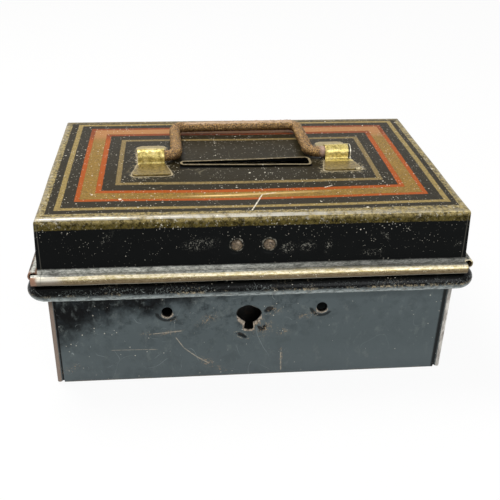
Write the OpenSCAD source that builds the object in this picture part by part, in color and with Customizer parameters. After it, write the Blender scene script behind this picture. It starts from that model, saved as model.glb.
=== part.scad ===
// Tin money box: a tinplate base with a rolled rim, a hinged lid with a coin slot,
// a folding wire handle, and a sliding-bolt lock behind the front wall.
// Millimetres, +Z up, front towards -Y, origin at the centre of the base's underside.

/* [Base] */
// Width of the base over its end walls
base_w = 150; // [120:1:200]
// Depth of the base from its front wall to its back wall
base_d = 95.2; // [80:0.2:130]
// Height of the base to the top of its rim bead
base_h = 46.35; // [44:0.05:70]
// Thickness of the tinplate sheet
sheet_t = 0.5; // [0.3:0.1:0.7]
// Outside radius of the bends in the sheet
bend_r = 1.2; // [0.8:0.1:2]
// Height of the front and end walls above the rim bead, inside the lid
rim_up = 2.65; // [1.5:0.05:4]
// Diameter of the folded seam at each upright corner of the base
seam_d = 1.9; // [1.4:0.1:2.4]
// Width of the groove between the front wall and a corner seam
seam_groove = 0.8; // [0.4:0.1:1.2]
// Height at which a corner seam ends above the table
seam_foot = 0.8; // [0.5:0.1:3]
// Width of the laps that join one sheet to the next
lap_w = 4; // [2:0.5:6]
// Diameter of the rolled rim bead
bead_d = 6.3; // [4:0.1:8]

/* [Lid] */
// Height of the lid from its hem to its flat top
lid_h = 24.35; // [20:0.05:40]
// Distance by which the lid's top overhangs the base at the front and the ends
lid_overhang = 1.1; // [0.8:0.1:2]
// Distance by which the skirt leans out between the flat top and the hem
lid_flare = 0.8; // [0:0.1:1.5]
// Diameter of the rolled hem along the skirt
hem_d = 3.9; // [3:0.1:5]
// Distance by which the front hem stands past the left end of the skirt
hem_lug = 1.9; // [0:0.1:2]
// Gap between the closed lid and the base
parting_gap = 0.3; // [0.2:0.05:0.6]

/* [Coin slot] */
// Length of the coin slot
slot_l = 50.5; // [40:0.5:60]
// Width of the slot at its narrow left end
slot_narrow = 1.9; // [1.5:0.1:4]
// Width of the slot at its worn right end
slot_wide = 6.1; // [5:0.1:8]
// Radius of the two corners at the worn end
slot_corner_r = 1.6; // [0.5:0.1:2]
// Place of the slot's centre line along the depth
slot_y = -3; // [-8:0.5:0]
// Height of the raised lip around the slot
lip_h = 0.7; // [0.3:0.1:0.9]
// Thickness of the raised lip around the slot
lip_t = 0.9; // [0.5:0.1:1.2]

/* [Handle] */
// Diameter of the handle wire
wire_d = 4.5; // [3:0.1:5]
// Distance between the centre lines of the two uprights
handle_w = 53.4; // [48:0.2:56]
// Distance from the pivot axis to the centre line of the grip
handle_reach = 31.8; // [24:0.2:36]
// Radius of the bends along the wire's centre line
wire_bend_r = 4.2; // [3.5:0.1:6]
// Distance of the handle's pivot axis behind the centre of the base
handle_y = 0.8; // [-2:0.1:4]
// Angle in degrees at which the handle is set askew on the lid
handle_skew = 1.5; // [0:0.1:2]
// Distance by which the handle has slid to the left in its clips
handle_play = 0.6; // [0:0.1:1]
// Largest angle in degrees through which the handle swings over
handle_swing = 170; // [90:1:172]

/* [Handle clips] */
// Distance from the middle of the handle to the middle of a clip
clip_x = 37.5; // [36:0.1:42]
// Width of a clip's arch, along the handle's feet
clip_w = 10.4; // [8:0.1:12]
// Thickness of the clip's strip
clip_t = 0.6; // [0.4:0.1:0.8]
// Reach of a clip's front foot from the pivot axis
clip_front = 13.7; // [10:0.1:16]
// Reach of a clip's back foot from the pivot axis
clip_back = 15.6; // [10:0.1:18]
// Width of the front foot at its end
clip_front_w = 15.8; // [12:0.1:18]
// Width of the back foot at its end
clip_back_w = 12.6; // [11:0.1:16]

/* [Hinges] */
// Distance from the middle of the box to the middle of a hinge
hinge_x = 48; // [25:1:50]
// Length of one of a hinge's three knuckles
knuckle_w = 8.5; // [6:0.1:11]
// Diameter of the hinge pin
pin_d = 2.2; // [1.6:0.1:2.6]
// Thickness of a hinge leaf
leaf_t = 0.8; // [0.6:0.1:1]
// Height of a hinge leaf from the pin's axis to its far edge
leaf_h = 11.5; // [9:0.5:14]
// Largest angle in degrees to which the lid opens
lid_open = 105; // [90:1:120]

/* [Rivets] */
// Diameter of a hinge rivet's shank
rivet_d = 1.8; // [1.2:0.1:2.2]
// Diameter of a hinge rivet's head
rivet_head_d = 3.4; // [3:0.1:4]
// Diameter of a hasp rivet's head on the front of the lid
hasp_head_d = 4.2; // [3.4:0.1:5]
// Depth of the hasp rivets below the lid's flat top
hasp_rivet_drop = 11.4; // [8:0.1:14]
// Distance between the two hasp rivets
hasp_rivet_gap = 11.6; // [9:0.1:13]

/* [Lock] */
// Place of the keyhole's centre across the front
key_x = -2; // [-10:0.5:10]
// Height of the keyhole's round head above the table
key_z = 28.7; // [26:0.1:32]
// Diameter of the keyhole's round head
key_d = 9; // [7:0.1:10]
// Width of the keyhole's stem
key_stem_w = 3.6; // [2.5:0.1:4]
// Length of the stem below the centre of the round head
key_stem_l = 6.9; // [5.5:0.1:8]
// Distance of the left fixing hole from the keyhole's centre
fix_left = 30.4; // [27:0.1:36]
// Distance of the right fixing hole from the keyhole's centre
fix_right = 27.3; // [27:0.1:36]
// Height of the fixing holes above the table
fix_z = 31.3; // [28:0.1:34]
// Diameter of a fixing hole
fix_d = 4.1; // [3:0.1:5]
// Reach of the lock case to the left of the keyhole's centre
case_reach_left = 21; // [18:0.5:24]
// Reach of the lock case to the right of the keyhole's centre
case_reach_right = 20; // [18.5:0.5:23]
// Reach of the lock case below the keyhole's centre
case_reach_down = 9.2; // [8:0.1:12]
// Reach of the lock case above the keyhole's centre
case_reach_up = 13.3; // [12.5:0.1:14]
// Thickness of the lock's plates
lock_t = 0.8; // [0.6:0.1:1]
// Inside depth of the lock case from front to back
lock_depth = 6.8; // [6.6:0.1:9]
// Distance by which the bolt slides
bolt_throw = 4; // [2.5:0.1:4.5]
// Thickness of the bolt's plate
bolt_t = 1; // [0.8:0.1:1.2]
// Diameter of the studs that guide the bolt
stud_d = 2.4; // [1.8:0.1:2.8]

/* [Clearances] */
// Radial gap of a pin, stud or shank in its hole
running_gap = 0.05; // [0.02:0.01:0.1]
// Gap between parts that pass each other
pass_gap = 0.3; // [0.2:0.05:0.4]
// Gap between the handle wire and a clip, and under the handle
wire_gap = 0.1; // [0.05:0.05:0.2]
// Height of the handle wire above the lid
wire_lift = 0.35; // [0.2:0.05:0.6]
// Gap between the rim bead and the walls it is rolled round
bead_gap = 0.05; // [0.02:0.01:0.1]

/* [Hidden] */
$fn = 64;

// Colours
japan_black = [0.05, 0.055, 0.05];
gold_paint = [0.55, 0.48, 0.26];
worn_brass = [0.72, 0.62, 0.36];
rusty_steel = [0.48, 0.36, 0.26];
bare_tin = [0.62, 0.6, 0.56];

// Overlap that makes a cut pass clean through a face
cut = 1;
// Longer than any side of the box
far = 2 * (base_w + base_d);

// Base
half_w = base_w / 2;
front_y = -base_d / 2;
back_y = base_d / 2;
seam_r = seam_d / 2;
tray_half = half_w - seam_d - seam_groove;
wall_top_z = base_h + rim_up;
bead_r = bead_d / 2;
bead_z = base_h - bead_r;
seam_x = half_w - seam_r;
seam_y = base_d / 2 - seam_r;

// Lid
lid_bottom_z = base_h + parting_gap;
lid_top_z = lid_bottom_z + lid_h;
lid_half_w = half_w + lid_overhang;
lid_front_y = front_y - lid_overhang;
hem_r = hem_d / 2;
hem_z = lid_bottom_z + hem_r;
// The hem stands off the skirt's outer face, with half the sheet inside it
hem_out = hem_r - sheet_t / 2;
flare_angle = atan(lid_flare / (lid_top_z - hem_z));
function spread(z) = lid_flare * (lid_top_z - z) / (lid_top_z - hem_z);
function skirt_y(z) = lid_front_y - spread(z);
function skirt_x(z) = lid_half_w + spread(z);

// Coin slot
// Distance by which a round end of the slot is wider than its straight sides
end_spare = 0.1;

// Hinges
pin_r = pin_d / 2;
bore_r = pin_r + running_gap;
knuckle_r = bore_r + leaf_t;
// The knuckle stands a running gap off the back wall
hinge_y = back_y + knuckle_r + running_gap;
hinge_z = base_h + parting_gap / 2;
hinge_w = 3 * knuckle_w + 2 * pass_gap;
hinge_rivet_z = leaf_h - 4;
hinge_rivet_x = hinge_w / 2 - 5;
// A lug on the lid's knuckle swings down and meets the base's leaf just past the full opening
stop_l = knuckle_r + 1.45;
stop_drop = hinge_y - back_y - leaf_t;
stop_meets = asin(stop_drop / norm([stop_l, leaf_t / 2])) - atan(leaf_t / 2 / stop_l);
stop_spare = 2;
stop_angle = lid_open + stop_spare - 90 - stop_meets;

// Handle and clips
wire_r = wire_d / 2;
handle_z = lid_top_z + wire_lift + wire_r;
upright_x = handle_w / 2;
foot_inset = 0.7;
foot_end_x = clip_x + clip_w / 2 - foot_inset;
clip_in_r = wire_r + wire_gap;
clip_out_r = clip_in_r + clip_t;
clip_lift = handle_z - lid_top_z;

// Lock
wall_in_y = front_y + sheet_t;
plate_y = wall_in_y + lock_t;
case_back_y = plate_y + lock_depth;
case_left = key_x - case_reach_left;
case_right = key_x + case_reach_right;
case_low_z = key_z - case_reach_down;
case_top_z = key_z + case_reach_up;
plate_margin = 5;
fix_left_x = key_x - fix_left;
fix_right_x = key_x + fix_right;
hasp_x = key_x + 0.6;
hasp_t = 1;
hasp_w = 10;
ear_t = 1.4;
hasp_y = plate_y + pass_gap;
bolt_y = case_back_y - running_gap - bolt_t;
ear_back_y = bolt_y - pass_gap;
eye_up = 10;
eye_z = key_z + eye_up;
eye_h = 3.8;
nose_h = 2.4;
eye_front_y = hasp_y + hasp_t + 0.8;
eye_back_y = ear_back_y - 0.8;
nose_gap = 0.4;
nose_tip_x = hasp_x + ear_t / 2 + nose_gap;
arm_x = nose_tip_x + bolt_throw;
arm_w = 2.9;
bolt_low_z = key_z + 3.3;
bolt_top_z = key_z + 9.3;
stud_r = stud_d / 2;
stud_z = key_z + 6.5;
stud_spread = 11;
bolt_end = 3;
gate_w = 5.5;
gate_h = 3.6;

// Runs a YZ outline along X, centred on X = 0
module along_x(length) {
    rotate([90, 0, 90]) linear_extrude(height = length, center = true) children();
}

// Runs an XZ outline along Y, centred on Y = 0
module along_y(length) {
    rotate([90, 0, 0]) linear_extrude(height = length, center = true) children();
}

// Shows the children as they are on the right, mirrored on the left
module on_side(side) {
    mirror([side < 0 ? 1 : 0, 0, 0]) children();
}

module ring_2d(radius, wall) {
    difference() {
        circle(r = radius);
        circle(r = radius - wall);
    }
}

// A domed rivet along +Z: its outer head stands on Z = 0, its shank goes down through the grip
module rivet(head_d, shank_d, grip) {
    dome_h = head_d / 4;
    dome_r = (head_d * head_d / 4 + dome_h * dome_h) / (2 * dome_h);
    intersection() {
        translate([0, 0, dome_h - dome_r]) sphere(r = dome_r);
        cylinder(d = head_d, h = dome_h);
    }
    translate([0, 0, -grip]) cylinder(d = shank_d, h = grip + dome_h / 2);
    translate([0, 0, -grip - dome_h / 2]) cylinder(d = head_d * 0.8, h = dome_h / 2);
}

// ---- Base ----

// A trough open at the top, drawn at a distance inside its outer faces
module trough_2d(inset) {
    translate([front_y + inset, bend_r]) square([base_d - 2 * inset, wall_top_z]);
    translate([front_y + bend_r, inset]) square([base_d - 2 * bend_r, bend_r]);
    for (side = [-1, 1])
        translate([side * (base_d / 2 - bend_r), bend_r]) circle(r = bend_r - inset);
}

module keyhole(depth) {
    translate([key_x, front_y - cut, key_z]) rotate([-90, 0, 0]) cylinder(d = key_d, h = depth);
    translate([key_x - key_stem_w / 2, front_y - cut, key_z - key_stem_l])
        cube([key_stem_w, depth, key_stem_l]);
}

module fixing_holes(depth) {
    for (x = [fix_left_x, fix_right_x])
        translate([x, front_y - cut, fix_z]) rotate([-90, 0, 0]) cylinder(d = fix_d, h = depth);
}

// Front wall, floor and back wall, bent from one sheet
module base_tray() {
    color(japan_black) difference() {
        union() {
            along_x(2 * tray_half) difference() {
                trough_2d(0);
                trough_2d(sheet_t);
            }
            translate([-half_w + bead_gap, front_y + seam_d, 0])
                cube([base_w - 2 * bead_gap, base_d - 2 * seam_d, sheet_t]);
        }
        translate([-far / 2, front_y - cut, wall_top_z]) cube([far, base_d + 2 * cut, far]);
        translate([-far / 2, 0, base_h]) cube([far, base_d, far]);
        keyhole(sheet_t + 2 * cut);
        fixing_holes(sheet_t + 2 * cut);
        hinge_rivet_holes(-1);
    }
}

// End wall with folded corner seams, and laps inside the front, the back and the floor
module base_end(side) {
    lap_x = tray_half - lap_w;
    color(japan_black) on_side(side) difference() {
        union() {
            translate([half_w - sheet_t, -seam_y, sheet_t])
                cube([sheet_t, 2 * seam_y, wall_top_z - sheet_t]);
            for (y = [-seam_y, seam_y])
                translate([seam_x, y, seam_foot]) cylinder(r = seam_r, h = wall_top_z - seam_foot);
            for (y = [front_y + sheet_t, back_y - 2 * sheet_t])
                translate([lap_x, y, bend_r]) cube([seam_x - lap_x, sheet_t, wall_top_z - bend_r]);
            translate([half_w - sheet_t - lap_w, front_y + bend_r, sheet_t])
                cube([lap_w, base_d - 2 * bend_r, sheet_t]);
        }
        translate([0, back_y - seam_d, base_h]) cube([far, far, far]);
    }
}

// Bead rolled round the front and the two ends, open at the back
module rim_bead() {
    path_r = seam_r + bead_gap + bead_r;
    color(japan_black) {
        translate([0, -seam_y - path_r, bead_z]) along_x(2 * seam_x) ring_2d(bead_r, sheet_t);
        for (side = [-1, 1]) on_side(side) {
            translate([seam_x, -seam_y, bead_z]) rotate([0, 0, 270])
                rotate_extrude(angle = 90) translate([path_r, 0]) ring_2d(bead_r, sheet_t);
            translate([seam_x + path_r, (back_y - seam_y) / 2, bead_z])
                along_y(back_y + seam_y) ring_2d(bead_r, sheet_t);
        }
    }
}

// ---- Lock ----

module stud_places() {
    for (side = [-1, 1]) translate([key_x + side * stud_spread, 0, stud_z]) rotate([-90, 0, 0]) children();
}

// Face plate against the front wall, with a box behind it that the hasp enters from above
module lock_case() {
    plate_x = fix_left_x - plate_margin;
    color(bare_tin) difference() {
        union() {
            translate([plate_x, wall_in_y, case_low_z])
                cube([fix_right_x + plate_margin - plate_x, lock_t, case_top_z - case_low_z]);
            difference() {
                translate([case_left, wall_in_y, case_low_z])
                    cube([case_right - case_left, case_back_y - wall_in_y, case_top_z - case_low_z]);
                translate([case_left + lock_t, plate_y, case_low_z + lock_t])
                    cube([case_right - case_left - 2 * lock_t, far, case_top_z - case_low_z - 2 * lock_t]);
            }
        }
        keyhole(sheet_t + lock_t + 2 * cut);
        fixing_holes(sheet_t + lock_t + 2 * cut);
        translate([hasp_x - hasp_w / 2 - pass_gap, plate_y, case_top_z - lock_t - cut])
            cube([hasp_w + 2 * pass_gap, ear_back_y + pass_gap - plate_y, lock_t + 2 * cut]);
    }
}

// Plate that closes the back of the lock
module lock_cover() {
    color(bare_tin) difference() {
        translate([case_left, case_back_y, case_low_z])
            cube([case_right - case_left, lock_t, case_top_z - case_low_z]);
        stud_places() translate([0, 0, case_back_y - cut])
            cylinder(r = stud_r + running_gap, h = lock_t + 2 * cut);
    }
}

// Two shouldered studs riveted to the cover, which guide the bolt
module lock_studs() {
    head_h = 0.6;
    color(bare_tin) stud_places() {
        translate([0, 0, bolt_y - running_gap - head_h]) cylinder(r = stud_r + 0.7, h = head_h);
        translate([0, 0, bolt_y - running_gap - head_h / 2])
            cylinder(r = stud_r, h = case_back_y + lock_t - bolt_y + running_gap + head_h);
        translate([0, 0, case_back_y + lock_t]) cylinder(r = stud_r + 0.5, h = head_h / 2);
    }
}

// Leaf spring that bears down on the bolt from the case's right wall
module lock_spring() {
    spring_t = 0.4;
    foot_h = 4;
    root_x = case_right - lock_t;
    tip_x = key_x + stud_spread;
    root_z = case_top_z - lock_t - 1;
    tip_z = bolt_top_z + pass_gap;
    color(bare_tin) translate([0, bolt_y + bolt_t / 2, 0]) along_y(bolt_t) polygon([
        [root_x, root_z - foot_h], [root_x, root_z], [root_x - spring_t, root_z],
        [tip_x, tip_z + spring_t], [tip_x - 2, tip_z + 2 * spring_t], [tip_x - 2, tip_z + spring_t],
        [tip_x, tip_z], [root_x - spring_t, root_z - spring_t * 1.3], [root_x - spring_t, root_z - foot_h]
    ]);
}

// Sliding plate with a nose that passes through the hasp's eye
module lock_bolt() {
    left_x = key_x - stud_spread - bolt_end;
    right_x = key_x + stud_spread + bolt_throw + bolt_end;
    slot_r = stud_r + running_gap;
    color(bare_tin) {
        difference() {
            translate([left_x, bolt_y, bolt_low_z]) cube([right_x - left_x, bolt_t, bolt_top_z - bolt_low_z]);
            stud_places() for (x = [0, bolt_throw])
                translate([x, 0, bolt_y - cut]) cylinder(r = slot_r, h = bolt_t + 2 * cut);
            stud_places() translate([0, -slot_r, bolt_y - cut])
                cube([bolt_throw, 2 * slot_r, bolt_t + 2 * cut]);
            translate([key_x + bolt_throw / 2 - gate_w / 2, bolt_y - cut, bolt_low_z - cut])
                cube([gate_w, bolt_t + 2 * cut, gate_h + cut]);
        }
        translate([arm_x, eye_front_y + nose_gap, eye_z - nose_h / 2])
            cube([arm_w, bolt_y + bolt_t - eye_front_y - nose_gap, nose_h]);
        translate([nose_tip_x, eye_front_y + nose_gap, eye_z - nose_h / 2])
            cube([arm_x - nose_tip_x + cut, eye_back_y - eye_front_y - 2 * nose_gap, nose_h]);
        translate([arm_x, bolt_y, bolt_top_z - cut])
            cube([arm_w, bolt_t, eye_z + nose_h / 2 - bolt_top_z + cut]);
    }
}

// ---- Hinges ----

// Places two rivets of one hinge on the back, below the pin's axis (-1) or above it (1)
module hinge_rivet_places(up) {
    for (side = [-1, 1], x = [-hinge_rivet_x, hinge_rivet_x])
        translate([side * hinge_x + x, back_y + leaf_t, hinge_z + up * hinge_rivet_z])
            rotate([-90, 0, 0]) children();
}

module hinge_rivet_holes(up) {
    hinge_rivet_places(up) translate([0, 0, -far / 8]) cylinder(d = rivet_d + 2 * running_gap, h = far / 4);
}

module hinge_rivets(up) {
    color(bare_tin) hinge_rivet_places(up) rivet(rivet_head_d, rivet_d, leaf_t + sheet_t);
}

// Flat of a leaf on the back wall, with the strip that joins it to one knuckle
module leaf_flat(up) {
    low = up > 0 ? knuckle_r + pass_gap : -leaf_h;
    translate([-hinge_w / 2, back_y, hinge_z + low]) cube([hinge_w, leaf_t, leaf_h - knuckle_r - pass_gap]);
}

// Knuckle centred at a place along the pin, with the strip that carries it
module knuckle(x, up) {
    low_z = up > 0 ? 0 : -knuckle_r - pass_gap - cut;
    translate([x, hinge_y, hinge_z]) along_x(knuckle_w) ring_2d(knuckle_r, leaf_t);
    translate([x - knuckle_w / 2, back_y, hinge_z + low_z])
        cube([knuckle_w, leaf_t, knuckle_r + pass_gap + cut]);
}

// Leaf on the base, with the two outer knuckles
module hinge_leaf_base(side) {
    color(japan_black) difference() {
        translate([side * hinge_x, 0, 0]) {
            leaf_flat(-1);
            for (end = [-1, 1]) knuckle(end * (knuckle_w + pass_gap), -1);
        }
        hinge_rivet_holes(-1);
    }
}

// Leaf on the lid, with the middle knuckle and its stop lug
module hinge_leaf_lid(side) {
    color(japan_black) difference() {
        translate([side * hinge_x, 0, 0]) {
            leaf_flat(1);
            knuckle(0, 1);
            translate([0, hinge_y, hinge_z]) rotate([stop_angle, 0, 0])
                translate([-knuckle_w / 2, bore_r + leaf_t / 2, -leaf_t / 2])
                    cube([knuckle_w, stop_l - bore_r - leaf_t / 2, leaf_t]);
        }
        hinge_rivet_holes(1);
    }
}

// Two pins with peened ends
module hinge_pins() {
    end_h = 0.6;
    color(bare_tin) for (side = [-1, 1]) translate([side * hinge_x, hinge_y, hinge_z]) {
        along_x(hinge_w + 2 * running_gap) circle(r = pin_r);
        for (end = [-1, 1]) translate([end * (hinge_w / 2 + running_gap + end_h / 2), 0, 0])
            along_x(end_h) circle(r = pin_r + 0.5);
    }
}

// ---- Lid ----

// Front-to-back section of the lid, drawn at a distance inside its outer faces
module lid_section_2d(inset) {
    low_z = lid_bottom_z - (inset > 0 ? cut : 0);
    polygon([
        [back_y - inset, low_z], [back_y - inset, lid_top_z - bend_r],
        [back_y - bend_r, lid_top_z - inset], [lid_front_y + bend_r, lid_top_z - inset],
        [skirt_y(lid_top_z - bend_r) + inset, lid_top_z - bend_r], [skirt_y(low_z) + inset, low_z]
    ]);
    for (y = [lid_front_y + bend_r, back_y - bend_r])
        translate([y, lid_top_z - bend_r]) circle(r = bend_r - inset);
}

// Side-to-side section of the lid, drawn at a distance inside its outer faces
module lid_width_2d(inset) {
    low_z = lid_bottom_z - (inset > 0 ? cut : 0);
    for (side = [-1, 1]) on_side(side) {
        polygon([
            [0, low_z], [skirt_x(low_z) - inset, low_z],
            [skirt_x(lid_top_z - bend_r) - inset, lid_top_z - bend_r],
            [lid_half_w - bend_r, lid_top_z - inset], [0, lid_top_z - inset]
        ]);
        translate([lid_half_w - bend_r, lid_top_z - bend_r]) circle(r = bend_r - inset);
    }
}

// Outline of the coin slot, which widens from left to right, grown by a margin.
// The round ends are a little wider than the slot, so the straight sides cut across them.
module slot_2d(grow) {
    side_angle = atan((slot_wide - slot_narrow) / 2 / slot_l);
    margin = grow / cos(side_angle);
    past = slot_wide;
    past_y = past * tan(side_angle);
    left_x = -slot_l / 2 + slot_narrow / 2 + end_spare;
    right_x = slot_l / 2 - slot_corner_r;
    corner_y = slot_wide / 2 - slot_corner_r;
    intersection() {
        polygon([
            [-slot_l / 2 - past, -slot_narrow / 2 - margin + past_y],
            [slot_l / 2 + grow, -slot_wide / 2 - margin - grow * tan(side_angle)],
            [slot_l / 2 + grow, slot_wide / 2 + margin + grow * tan(side_angle)],
            [-slot_l / 2 - past, slot_narrow / 2 + margin - past_y]
        ]);
        union() {
            translate([left_x, 0]) circle(r = slot_narrow / 2 + end_spare + grow);
            translate([left_x, -slot_wide]) square([right_x - left_x, 2 * slot_wide]);
            for (y = [-corner_y, corner_y])
                translate([right_x, y]) circle(r = slot_corner_r + end_spare + grow);
            translate([right_x - cut, -corner_y]) square([slot_wide, 2 * corner_y]);
        }
    }
}

// Places children on the sloping front of the lid: Z = 0 at the flat top, +Z out of the wall
module on_lid_front(x, drop) {
    translate([x, skirt_y(lid_top_z - drop), lid_top_z - drop]) rotate([90 - flare_angle, 0, 0]) children();
}

module hasp_rivet_places() {
    for (side = [-1, 1]) on_lid_front(hasp_x + side * hasp_rivet_gap / 2, hasp_rivet_drop) children();
}

module hasp_rivet_holes() {
    hasp_rivet_places() translate([0, 0, -cut - sheet_t - hasp_t])
        cylinder(d = rivet_d + 2 * running_gap, h = sheet_t + hasp_t + 2 * cut);
}

// Top, front skirt and back skirt, bent from one sheet, with the front hem and the slot's lip
module lid_top() {
    hem_left = skirt_x(hem_z) + hem_lug;
    hem_right = skirt_x(hem_z) + running_gap;
    color(japan_black) difference() {
        union() {
            intersection() {
                along_x(far) difference() {
                    lid_section_2d(0);
                    lid_section_2d(sheet_t);
                }
                along_y(far) lid_width_2d(0);
                union() {
                    translate([-far / 2, front_y, 0]) cube([far, far, far]);
                    translate([-far / 2, -far / 2, hem_z]) cube([far, far, far]);
                }
            }
            translate([(hem_right - hem_left) / 2, skirt_y(hem_z) - hem_out, hem_z])
                along_x(hem_left + hem_right) ring_2d(hem_r, sheet_t);
            translate([0, slot_y, lid_top_z - sheet_t])
                linear_extrude(height = sheet_t + lip_h) slot_2d(lip_t);
        }
        translate([0, slot_y, lid_top_z - far / 2]) linear_extrude(height = far) slot_2d(0);
        hasp_rivet_holes();
        hinge_rivet_holes(1);
    }
}

// End skirt between the front and back skirts, with its hem and a lap under the flat top
module lid_end(side) {
    under_z = lid_top_z - sheet_t;
    lap_x = lid_half_w - sheet_t - lap_w;
    hem_front = skirt_y(hem_z) + 2 * sheet_t;
    color(japan_black) on_side(side) {
        intersection() {
            along_y(far) difference() {
                lid_width_2d(0);
                lid_width_2d(sheet_t);
            }
            along_x(far) lid_section_2d(sheet_t);
            translate([0, -far / 2, hem_z]) cube([far, far, under_z - hem_z]);
        }
        intersection() {
            translate([lap_x, -far / 2, under_z - sheet_t]) cube([lap_w, far, sheet_t]);
            along_x(far) lid_section_2d(sheet_t);
        }
        translate([skirt_x(hem_z) + hem_out, (hem_front + back_y) / 2, hem_z])
            along_y(back_y - hem_front) ring_2d(hem_r, sheet_t);
    }
}

// Strap riveted inside the lid's front, cranked to drop behind the base's front wall
module hasp() {
    top_z = lid_top_z - hasp_rivet_drop + 4;
    bend_high_z = wall_top_z + 4.2;
    bend_low_z = wall_top_z + 1.4;
    low_z = eye_z - eye_h / 2 - 1.6;
    wide = hasp_rivet_gap + 6;
    color(bare_tin) difference() {
        union() {
            intersection() {
                translate([hasp_x, 0, 0]) along_x(wide) polygon([
                    [skirt_y(top_z) + sheet_t, top_z], [skirt_y(bend_high_z) + sheet_t, bend_high_z],
                    [hasp_y, bend_low_z], [hasp_y, low_z],
                    [hasp_y + hasp_t, low_z], [hasp_y + hasp_t, bend_low_z + hasp_t / 2],
                    [skirt_y(bend_high_z) + sheet_t + hasp_t, bend_high_z + hasp_t / 2],
                    [skirt_y(top_z) + sheet_t + hasp_t, top_z]
                ]);
                union() {
                    translate([hasp_x - wide / 2, -far / 2, bend_high_z]) cube([wide, far, far]);
                    translate([hasp_x - hasp_w / 2, -far / 2, 0]) cube([hasp_w, far, far]);
                }
            }
            difference() {
                translate([hasp_x - ear_t / 2, hasp_y + hasp_t / 2, low_z])
                    cube([ear_t, ear_back_y - hasp_y - hasp_t / 2, eye_z + eye_h / 2 + 1.6 - low_z]);
                translate([hasp_x - ear_t, eye_front_y, eye_z - eye_h / 2])
                    cube([2 * ear_t, eye_back_y - eye_front_y, eye_h]);
            }
        }
        hasp_rivet_holes();
    }
}

module hasp_rivets() {
    color(bare_tin) hasp_rivet_places() rivet(hasp_head_d, rivet_d, sheet_t + hasp_t);
}

// ---- Handle ----

// Places children at the pivot axis, turned askew as the handle is
module at_handle() {
    translate([0, handle_y, handle_z]) rotate([0, 0, handle_skew]) children();
}

// Side outline of a clip: an arch over the wire with a foot in front and a foot behind
module clip_2d() {
    difference() {
        union() {
            circle(r = clip_out_r);
            translate([-clip_out_r, -clip_lift]) square([2 * clip_out_r, clip_lift]);
            translate([-clip_front, -clip_lift]) square([clip_front + clip_back, clip_t]);
        }
        circle(r = clip_in_r);
        translate([-clip_in_r, -clip_lift - cut]) square([2 * clip_in_r, clip_lift + cut]);
    }
}

// Brassed strap soldered to the lid over one foot of the handle
module clip(side) {
    color(worn_brass) at_handle() translate([side * clip_x, 0, 0]) intersection() {
        along_x(far) clip_2d();
        translate([0, 0, -clip_lift]) linear_extrude(height = clip_lift + clip_out_r) polygon([
            [-clip_front_w / 2, -clip_front], [clip_front_w / 2, -clip_front],
            [clip_w / 2, -clip_out_r], [clip_w / 2, clip_out_r],
            [clip_back_w / 2, clip_back], [-clip_back_w / 2, clip_back],
            [-clip_w / 2, clip_out_r], [-clip_w / 2, -clip_out_r]
        ]);
    }
}

// Bail lying back on the lid: a grip, two uprights and two feet turned out into the clips
module handle() {
    straight = handle_reach - 2 * wire_bend_r;
    color(rusty_steel) at_handle() translate([-handle_play, 0, 0]) {
        translate([0, handle_reach, 0]) along_x(handle_w - 2 * wire_bend_r) circle(r = wire_r);
        for (side = [-1, 1]) on_side(side) {
            translate([upright_x - wire_bend_r, handle_reach - wire_bend_r, 0])
                rotate_extrude(angle = 90) translate([wire_bend_r, 0]) circle(r = wire_r);
            translate([upright_x, wire_bend_r + straight / 2, 0]) along_y(straight) circle(r = wire_r);
            translate([upright_x + wire_bend_r, wire_bend_r, 0]) rotate([0, 0, 180])
                rotate_extrude(angle = 90) translate([wire_bend_r, 0]) circle(r = wire_r);
            translate([(upright_x + wire_bend_r + foot_end_x) / 2, 0, 0])
                along_x(foot_end_x - upright_x - wire_bend_r) circle(r = wire_r);
        }
    }
}

base_tray();
base_end(-1);  // base_end_left
base_end(1);  // base_end_right
rim_bead();
lock_case();
lock_cover();
lock_studs();
lock_spring();
lock_bolt();
hinge_leaf_base(-1);  // hinge_leaf_base_left
hinge_leaf_base(1);  // hinge_leaf_base_right
hinge_pins();
hinge_rivets(-1);  // base_hinge_rivets
lid_top();
lid_end(-1);  // lid_end_left
lid_end(1);  // lid_end_right
hinge_leaf_lid(-1);  // hinge_leaf_lid_left
hinge_leaf_lid(1);  // hinge_leaf_lid_right
hinge_rivets(1);  // lid_hinge_rivets
hasp();
hasp_rivets();
clip(-1);  // clip_left
clip(1);  // clip_right
handle();
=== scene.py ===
"""Looks of the tin money box: japanned and gilt tinplate, worn brass clips, a rusty wire handle."""

import math
import random

import bmesh
import bpy
import numpy as np
from mathutils import Matrix, Vector, noise

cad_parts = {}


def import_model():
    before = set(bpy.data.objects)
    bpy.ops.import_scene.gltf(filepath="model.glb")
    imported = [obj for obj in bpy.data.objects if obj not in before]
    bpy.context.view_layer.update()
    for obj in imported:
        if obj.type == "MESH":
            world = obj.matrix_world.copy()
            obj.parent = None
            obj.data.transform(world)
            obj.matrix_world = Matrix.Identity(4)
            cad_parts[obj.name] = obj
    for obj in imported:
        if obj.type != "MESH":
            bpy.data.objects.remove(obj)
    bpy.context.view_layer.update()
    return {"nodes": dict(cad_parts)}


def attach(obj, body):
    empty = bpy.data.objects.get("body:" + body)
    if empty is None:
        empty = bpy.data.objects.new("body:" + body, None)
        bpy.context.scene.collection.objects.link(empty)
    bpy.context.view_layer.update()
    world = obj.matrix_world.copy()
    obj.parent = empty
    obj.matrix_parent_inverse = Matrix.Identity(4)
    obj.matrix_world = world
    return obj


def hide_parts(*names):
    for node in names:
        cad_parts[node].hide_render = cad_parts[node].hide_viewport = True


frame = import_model()
MM = 0.001


# ---- sizes, in millimetres

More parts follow.
